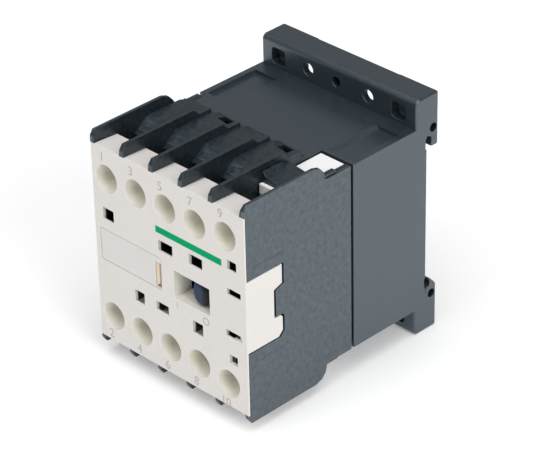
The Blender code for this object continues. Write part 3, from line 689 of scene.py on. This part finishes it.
def make_coil_casing():
    """The coil's casing, with the fixing flange and the hooks for the rail."""
    body = around(BODY_MID, BODY_HALF)
    casing = block(around(0.0, HALF_WIDTH - 0.01), (COIL_FRONT + 0.3, SEAT), body, 0.12)
    lip = (26.95, COIL_FRONT + 1.5)
    lips = [
        block((-20.75, 13.7), lip, around(BODY_MID + side * (BODY_HALF - 0.6), 0.6), 0.1)
        for side, _ in SIDES]
    upper = [
        (FLANGE, 20.0), (FLANGE, TOP - 0.8), (FLANGE + 0.8, TOP), (REAR, TOP), (REAR, 16.3),
        (55.0, 16.3), (54.6, 17.2), (53.2, 20.0)]
    lower = [
        (FLANGE, -20.0), (FLANGE, BOTTOM + 0.8), (FLANGE + 0.8, BOTTOM), (REAR, BOTTOM),
        (REAR, -18.3), (55.1, -16.3), (54.6, -16.9), (53.2, -20.0)]
    flanges = [prism(outline, around(0.0, HALF_WIDTH), "x", 0.48) for outline in (upper, lower)]
    inset = 0.8
    rim = block(
        around(0.0, HALF_WIDTH - inset), (SEAM - 0.4, COIL_FRONT + 1.0),
        around(BODY_MID, BODY_HALF - inset), 0.0)
    join(casing, *flanges, *lips, rim)
    room = block(
        around(0.0, HALF_WIDTH - WALL), (29.0, 49.0), around(BODY_MID, BODY_HALF - WALL), 0.1)
    cut(casing, room)
    upper_notch = [(53.1, 16.2), (53.1, 18.4)] + arc((54.0, 18.4), 0.9, 180.0, 0.0, 10)
    lower_notch = [(53.1, -15.6), (53.1, -17.4)] + arc((54.0, -17.4), 0.9, 180.0, 360.0, 10)
    outlines = (upper_notch + [(54.9, 16.2)], lower_notch + [(54.9, -15.6)])
    notches = [prism(outline, around(0.0, 30.0), "x", 0.0) for outline in outlines]
    gutters = [gutter(turn, side) for turn in (1, -1) for side, _ in SIDES]
    cut(casing, *notches, *gutters)
    for side, _ in SIDES:
        cut(casing, *flange_holes(side))
    cut(casing, round_pocket((-0.4, 25.2), 1.15, 53.0, FLANGE, 0.15))
    holes = [rod((0.0, 55.4, z), 1.05, 2 * HALF_WIDTH + 2.0, "x") for z in (20.9, -20.2)]
    pocket_for_spring = block(around(0.0, 10.6), (53.3, 54.7), (17.6, 23.2), 0.1)
    step = block(around(0.0, 12.0), (56.4, BEHIND), (TOP - 0.3, TOP + 1.0), 0.1)
    cut(casing, *holes, pocket_for_spring, step)
    finish_piece(
        casing, "coil_casing", COIL_CASING_PLASTIC, "case", "dark_plastic", "rear_housing")


def flange_holes(side):
    """Cutters for the holes in one strip of the flange: fixing holes, small ones, rear pockets."""
    z = side * FIXING_Z
    corners = [
        pocket((x, z), (2.0, 1.9), 0.8, RECESS, FLANGE, 0.08) for x in (-FIXING_X, FIXING_X)]
    bores = [
        round_pocket((x, z), 2.0, REAR + 1.0, RECESS, 0.1) for x in (-FIXING_X, FIXING_X)]
    small = [
        round_pocket((x, z + side * 0.2), 1.5, BEHIND, FLANGE, 0.15)
        for x in (-SMALL_HOLE_X, SMALL_HOLE_X)]
    heights = sorted((side * 18.4, side * 27.6))
    rear_pockets = [
        block(x, (51.7, BEHIND), heights, 0.3) for x in ((-15.2, -6.8), (1.4, 10.8))]
    return [*corners, *bores, *small, *rear_pockets]


def gutter(turn, side):
    """The sloping gutter beside one end of the roof, or of the floor."""
    outer = HALF_WIDTH - 1.5
    across = [turn * value for value in (14.4, 15.5, HALF_WIDTH - 1.7, outer, outer, 14.4)]
    heights = [BODY_TOP + height for height in (0.02, -0.85, -0.85, -0.2, 1.0, 1.0)]
    outline = list(zip(across, heights))
    return prism(upright(outline, side), (COIL_FRONT + 1.2, 46.5), "y", 0.0)


# --- cover ---------------------------------------------------------------------------------------

def make_cover():
    """The front plate, with its terminal rows, side tabs, window and openings."""
    face = [(SKIN, FACE_BOTTOM), (SKIN, FACE_TOP), (0.45, FACE_TOP), (0.45, FACE_BOTTOM)]
    cover = prism(face, around(0.0, HALF_WIDTH), "x", 0.2)
    rows = [
        (0.2, FACE_TOP - 0.05), (LEDGE, FACE_TOP - 0.5), (LEDGE, ROW_MID + 10.3),
        (PLATE, ROW_MID + 10.3), (PLATE, ROW_MID - 10.3), (LEDGE, ROW_MID - 10.3),
        (LEDGE, FACE_BOTTOM + 0.5), (0.2, FACE_BOTTOM + 0.05)]
    tabs = [prism(tab_outline(), span, "x", 0.12) for span in both_flanks(1.3, -0.02)]
    tube = block((0.4, 12.8), (PLATE - 0.1, 4.9), (ROW_MID - 4.4, ROW_MID + 4.2), 0.1)
    join(cover, prism(rows, around(0.0, 21.35), "x", 0.12), *tabs, tube)
    thin = [block((16.6, 21.5), (PLATE, 7.5), z, 0.0) for z in ((8.4, 12.4), (-14.2, -8.9))]
    cut(cover, *thin)
    wells = [
        round_pocket(screw_at(pole, word), 3.1, THROUGH, 0.0, 0.3, 0.12)
        for pole in range(POLES) for _, word in SIDES]
    cut(cover, *wells)
    cut(cover, *[pocket((x, z), (w / 2, h / 2), 0.12, THROUGH, 0.0, 0.08) for x, z, w, h in SLOTS])
    cut(cover, *[
        block(around(x, w / 2 - 0.02), (0.35, 4.5), (z - h / 2 - 1.3, z + h / 2 - 0.1), 0.0)
        for x, z, w, h in SLOTS + [RAMP_SLOT]])
    ramp = [
        (16.5, -1.0), (21.1, -1.0), (21.1, 0.15), (18.4, 1.5), (18.4, THROUGH), (16.5, THROUGH)]
    latch = pocket((18.4, -12.3), (1.15, 1.05), 0.12, 1.5, 0.0, 0.08)
    catch = pocket((18.95, -11.85), (0.6, 0.6), 0.1, THROUGH, 0.5, 0.05)
    cut(cover, prism(ramp, around(RAMP_SLOT[1], 0.75), "z", 0.0), latch, catch)
    window = [(-1.0, 2.0), (-1.0, -4.35), (6.0, -4.55), (6.0, 2.0)]
    cut(cover, prism(window, (1.4, 11.8), "x", 0.0))
    rim = pocket((6.6, -1.2), (5.2, 3.2), 0.05, 0.2, 0.0, 0.12)
    recess = pocket(marker_middle(), marker_half(0.1), 0.3, MARKER[1][1] + 0.05, 0.0, 0.06)
    cut(cover, rim, recess)
    finish_piece(cover, "cover_plate", COVER_PLASTIC, "case", "off_white_plastic", "front_cover")


def marker_middle():
    return middle(MARKER[0]), middle(MARKER[2])


def marker_half(gap):
    x, _, z = MARKER
    return (x[1] - x[0]) / 2 + gap, (z[1] - z[0]) / 2 + gap


def make_marker():
    """The snap-in marker holder, and the pale spring clip at its right edge."""
    x, depth, z = MARKER
    plate = block(x, (depth[0] + SKIN, depth[1] - 0.05), z, 0.12)
    slot = block((x[1] - 1.6, x[1] + 0.5), (-1.0, 0.85), (z[0] + 0.3, z[1] - 1.3), 0.08)
    cut(plate, slot)
    finish_piece(plate, "marker_plate", MARKER_PLASTIC, "case", "marker_plastic", "marker_holder")
    edge, low, high = x[1] - 1.5, z[0] + 0.4, z[1] - 1.4
    outline = [(edge, low), (edge + 0.9, low + 1.0), (edge + 0.9, high), (edge, high)]
    clip = prism(outline, (0.08, 0.9), "y", 0.12)
    finish_piece(clip, "marker_clip", CLIP_PLASTIC, "case", "beige_plastic")


def make_tongue():
    """The blue end of the carrier that shows in the window."""
    x, depth, z = TONGUE
    x = (x[0] - 0.7, x[1])     # its round end shows further left than the CAD node
    half = ((x[1] - x[0]) / 2, (z[1] - z[0]) / 2)
    centre = (middle(x), middle(z))
    fillet, fillet_steps, corner_steps = 1.2, 4, 12
    rings = []
    for step in range(fillet_steps + 1):
        angle = math.pi / 2 * step / fillet_steps
        shrink = -fillet * (1.0 - math.sin(angle))
        nose = depth[0] + fillet * (1.0 - math.cos(angle))
        rings.append(rounded_ring(centre, half, half[0], nose, shrink, corner_steps))
    rings.append(rounded_ring(centre, half, half[0], depth[1], 0.0, corner_steps))
    tongue = loft(rings)
    finish_piece(tongue, "position_tongue", TONGUE_PLASTIC, "carrier", "blue_plastic", "indicator")


def lettering(text, size, x, z):
    """A generic number or sign printed on the face."""
    curve = bpy.data.curves.new("sign", "FONT")
    curve.body = text
    curve.size = size * MM
    curve.align_x = "CENTER"
    curve.align_y = "CENTER"
    curve.extrude = 0.03 / 2 * MM
    sign = bpy.data.objects.new("sign", curve)
    bpy.context.scene.collection.objects.link(sign)
    at = Matrix.Translation(place(x, SKIN, z))
    sign.matrix_world = at @ Matrix.Rotation(math.pi / 2, 4, "X")
    return sign


def make_prints():
    """The green band, the terminal numbers, and the on and off signs under the window."""
    band = block((-3.6, 15.7), (0.0, 0.05), (9.35, 10.9), 0.0)
    finish_piece(band, "green_band", GREEN_PRINT, "case", "green_print")
    signs = []
    for pole in range(POLES):
        for side, word in SIDES:
            x, z = screw_at(pole, word)
            number = 2 * pole + (1 if side > 0 else 2)
            signs.append(lettering(str(number), 3.0, x - 1.0, z + side * 4.85))
    signs.append(lettering("I", 2.2, 2.0, -6.3))
    signs.append(lettering("O", 2.6, 10.6, -6.4))
    bpy.context.view_layer.update()
    depsgraph = bpy.context.evaluated_depsgraph_get()
    bm = bmesh.new()
    for sign in signs:
        mesh = bpy.data.meshes.new_from_object(sign.evaluated_get(depsgraph))
        mesh.transform(sign.matrix_world)
        bm.from_mesh(mesh)
        bpy.data.meshes.remove(mesh)
        bpy.data.objects.remove(sign, do_unlink=True)
    bmesh.ops.remove_doubles(bm, verts=bm.verts, dist=1e-7)
    finish_piece(shown("signs", bm), "terminal_numbers", GREY_PRINT, "case", "grey_print")


# --- terminals -----------------------------------------------------------------------------------

def turned(centre, profile):
    """A round solid about the depth axis, from (depth, radius) points."""
    return loft([rounded_ring(centre, (r, r), r, depth, 0.0, 10) for depth, r in profile])


def threaded(centre, start, end, radius):
    """A shank with a helical thread about the depth axis, which fades out at its two ends."""
    pitch, height = 0.6, 0.28
    sides, rows_a_turn = 24, 6
    count = round((end - start) / pitch * rows_a_turn)
    rings = []
    for row in range(count + 1):
        depth = start + (end - start) * row / count
        full = height * min(1.0, row / rows_a_turn, (count - row) / rows_a_turn)
        ring = []
        for step in range(sides):
            turn = step / sides
            phase = (depth / pitch - turn) % 1.0
            reach = radius - full * abs(2.0 * phase - 1.0)
            angle = 2 * math.pi * turn
            x = centre[0] + reach * math.cos(angle)
            ring.append(place(x, depth, centre[1] + reach * math.sin(angle)))
        rings.append(ring)
    return loft(rings)


def make_screws():
    """The terminal screws: a rounded head with a cross recess, and a threaded shank."""
    depth = spans("terminal_screw_upper_1")[1]
    centre = screw_at(0, "upper")
    head = depth[0]
    profile = [
        (head, 1.9), (head + 0.08, 2.3), (head + 0.3, 2.55), (head + 1.2, 2.6), (head + 1.5, 2.45),
        (head + 1.6, 1.4)]
    screw = turned(centre, profile)
    join(screw, threaded(centre, head + 1.4, depth[1], 1.6))
    cross = []
    for long, wide in ((1.75, 0.36), (0.36, 1.75)):
        steps = (
            (head - 0.5, (long, wide)), (head + 0.1, (long, wide)),
            (head + 0.95, (long * 0.6, wide * 0.7)))
        cross.append(loft([rounded_ring(centre, half, 0.12, at, 0.0, 2) for at, half in steps]))
    cut(screw, *cross)
    repeat_piece(screw, "screw", "terminal_screw", "screw", STEEL, "plated_steel", centre)


def make_clamps():
    """The square washers that press the wires down, with four ridges that bite."""
    x, depth, z = spans("wire_clamp_upper_1")
    centre = middle(x), middle(z)
    front, rear = depth
    clamp = block(around(centre[0], 2.6), (front, rear - 0.15), around(centre[1], 2.3), 0.15)
    ridges = [
        block(around(centre[0], 2.4), (rear - 0.4, rear), around(centre[1] + shift, 0.2), 0.08)
        for shift in (-2.0, -1.2, 1.2, 2.0)]
    join(clamp, *ridges)
    cut(clamp, rod((centre[0], front, centre[1]), 1.9, 4.0))
    repeat_piece(clamp, "washer", "wire_clamp", "clamp", STEEL, "plated_steel", centre)


def repeat_piece(pattern, name, node, body, made_of, slot, centre):
    """Puts copies of the first upper piece in every terminal, each on the body of its own CAD node."""
    at = place(centre[0], 0.0, centre[1])
    pattern.data.transform(Matrix.Translation(-at))
    pattern.matrix_world = Matrix.Translation(at)
    for _, word in SIDES:
        for pole in range(POLES):
            terminal = f"{word}_{pole + 1}"
            stands_for = f"{node}_{terminal}"
            x, _, z = spans(stands_for)
            piece = bpy.data.objects.new(name, pattern.data.copy())
            bpy.context.scene.collection.objects.link(piece)
            piece.matrix_world = Matrix.Translation(place(middle(x), 0.0, middle(z)))
            finish_piece(
                piece, f"{name}_{terminal}", made_of, f"{body}_{terminal}", slot, stands_for)
    bpy.data.objects.remove(pattern, do_unlink=True)


def make_former():
    """The coil's white former, whose arms reach the coil terminals."""
    long, end = (-13.8, 6.8), (31.6, 48.6)
    former = block(long, (34.8, 46.2), around(ROW_MID, 4.7), 0.15)
    parts = [
        block((long[0], -12.6), end, around(ROW_MID, 17.3), 0.2),
        block((5.6, 6.7), end, (BODY_MID - 20.35, BODY_MID + 20.35), 0.2)]
    left = chamber_left(POLES - 1)
    heights = [
        19.1, 20.3, 20.3, 22.6, 22.6, 21.2, 21.2, 22.15, 22.15, 20.35, 20.35, 18.7, 18.7]
    depths = [13.8, 13.8, 12.6, 12.6, 13.55, 13.55, 21.7, 21.7, 30.5, 30.5, 37.5, 37.5, 14.3]
    outline = [(depth, BODY_MID + height) for depth, height in zip(depths, heights)]
    span = (left + 0.25, left + CHAMBER - 0.25)
    for side, _ in SIDES:
        arm = around(BODY_MID + side * 19.525, 0.825)
        parts.append(block((5.8, 14.6), (31.7, 37.4), arm, 0.15))
        parts.append(prism(upright(outline, side), span, "x", 0.15))
    join(former, *parts)
    legs = [around(ROW_MID, 3.9), (ROW_MID + 9.1, ROW_MID + 14.8), (ROW_MID - 14.8, ROW_MID - 9.1)]
    cut(former, *[block((-15.0, 8.0), (34.9, 46.1), leg, 0.1) for leg in legs])
    tips = []
    for _, word in SIDES:
        x, z = screw_at(POLES - 1, word)
        tips.append(rod((x, 15.0, z), 2.0, 9.0))
    springs = [rod((6.2, 40.5, ROW_MID + side * 15.6), 2.2, 3.0, "x") for side, _ in SIDES]
    cut(former, *tips, *springs)
    finish_piece(former, "coil_former", FORMER_PLASTIC, "case", "coil_white_plastic", "coil_bobbin")


def make_rail_spring():
    """The bowed wire behind the upper hook."""
    curve = bpy.data.curves.new("rail_wire", "CURVE")
    curve.dimensions = "3D"
    curve.bevel_depth = 0.38 * MM
    curve.bevel_resolution = 5
    curve.use_fill_caps = True
    spline = curve.splines.new("POLY")
    steps = 32
    spline.points.add(steps)
    _, depth, z = spans("rail_spring")
    margin = 0.4
    lowest, rise = z[0] + margin, z[1] - z[0] - 2 * margin
    reach = 10.0
    for step, point in enumerate(spline.points):
        along = 2 * step / steps - 1
        height = lowest + rise * along * along
        point.co = (*place(reach * along, middle(depth), height), 1.0)
    wire = bpy.data.objects.new("rail_wire", curve)
    bpy.context.scene.collection.objects.link(wire)
    bpy.context.view_layer.update()
    depsgraph = bpy.context.evaluated_depsgraph_get()
    mesh = bpy.data.meshes.new_from_object(wire.evaluated_get(depsgraph))
    bpy.data.objects.remove(wire, do_unlink=True)
    bm = bmesh.new()
    bm.from_mesh(mesh)
    bmesh.ops.remove_doubles(bm, verts=bm.verts, dist=1e-6)
    finish_piece(
        shown("wire", bm), "rail_wire", SPRING_STEEL, "rail_clip", "spring_steel", "rail_spring")


def make_coil_springs():
    """The coil springs inside, as copies of the CAD ones that the joints list as deforming."""
    for joint in frame["record"]["behaviour"]["joints"]:
        for spring in joint.get("deforming_nodes", []):
            name = spring["node"]
            bm = bmesh.new()
            bm.from_mesh(frame["nodes"][name].data)
            body = "case" if name.startswith("return") else "carrier"
            coil = finish_piece(
                shown("coil", bm), name + "_coil", SPRING_STEEL, body, "spring_steel", name)
            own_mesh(coil)


def dress_inner_nodes():
    """Gives the CAD nodes that stay a worked material of their own."""
    dresses = {
        "contact_carrier": CARRIER_PLASTIC, "armature": MAGNET, "magnet_core": MAGNET,
        "shading_ring": COPPER, "coil_winding": WINDING, "coil_terminal": BRASS,
        "fixed_contact": BRASS, "contact_bridge": COPPER}
    for name, node in frame["nodes"].items():
        for start, made_of in dresses.items():
            if name.startswith(start):
                node.data.materials.clear()
                node.data.materials.append(made_of)


# --- studio --------------------------------------------------------------------------------------

AZIMUTH, ELEVATION, ROLL = 45.616, 31.545, -1.327      # degrees
CAMERA_AT = Vector((0.3466, -0.3635, 0.2970))
LENS = 179.25
LIGHTS_AIM = Vector((0.0, -0.025, 0.0))
SOFTBOXES = (              # name, place, size in metres and power in watts
    ("top_softbox", (0.15, -0.25, 1.60), 1.8, 21.0),
    ("right_softbox", (0.85, -0.15, 0.45), 0.6, 4.2),
    ("front_softbox", (-0.10, -0.42, 0.36), 0.3, 0.42),
    ("back_softbox", (-0.75, 0.80, 0.75), 0.5, 0.3))
WHITE = (1.0, 1.0, 1.0, 1.0)


def aim_camera():
    data = bpy.data.cameras.new("camera")
    data.lens = LENS
    data.sensor_width = 36.0
    data.clip_start = 0.02
    data.clip_end = 20.0
    camera = bpy.data.objects.new("camera", data)
    bpy.context.scene.collection.objects.link(camera)
    turn = Matrix.Rotation(math.radians(AZIMUTH), 4, "Z")
    tilt = Matrix.Rotation(math.radians(90.0 - ELEVATION), 4, "X")
    roll = Matrix.Rotation(math.radians(ROLL), 4, "Z")
    camera.matrix_world = Matrix.Translation(CAMERA_AT) @ turn @ tilt @ roll
    bpy.context.scene.camera = camera


def soft_light(name, place_at, size, power):
    data = bpy.data.lights.new(name, "AREA")
    data.shape = "SQUARE"
    data.size = size
    data.energy = power
    light = bpy.data.objects.new(name, data)
    bpy.context.scene.collection.objects.link(light)
    turn = (LIGHTS_AIM - Vector(place_at)).to_track_quat("-Z", "Y")
    light.matrix_world = Matrix.Translation(place_at) @ turn.to_matrix().to_4x4()


def make_studio():
    """A pale floor, an even sky and four soft lights."""
    bm = bmesh.new()
    bmesh.ops.create_grid(
        bm, x_segments=1, y_segments=1, size=6.0, matrix=Matrix.Translation((0, 0, CAD_LOW.z)))
    floor = shown("floor", bm)
    recipe = Recipe("floor_paper", 0.9, specular=0.1)
    lumps = recipe.noise(60.0, 2.0)
    recipe.coloured(recipe.mixed(lumps, (0.92, 0.92, 0.92), (0.94, 0.94, 0.94)))
    recipe.shader.inputs["Emission Color"].default_value = WHITE
    recipe.shader.inputs["Emission Strength"].default_value = 0.2
    floor.data.materials.append(recipe.material)
    world = bpy.data.worlds.new("studio")
    world.use_nodes = True
    background = world.node_tree.nodes["Background"]
    background.inputs["Color"].default_value = WHITE
    background.inputs["Strength"].default_value = 0.18
    bpy.context.scene.world = world
    for name, place_at, size, power in SOFTBOXES:
        soft_light(name, place_at, size, power)
    bpy.context.scene.view_settings.view_transform = "Standard"


aim_camera()
make_studio()
make_coil_casing()
make_contact_casing()
make_cover()
make_marker()
make_tongue()
make_prints()
make_screws()
make_clamps()
make_former()
make_rail_spring()
make_coil_springs()
dress_inner_nodes()
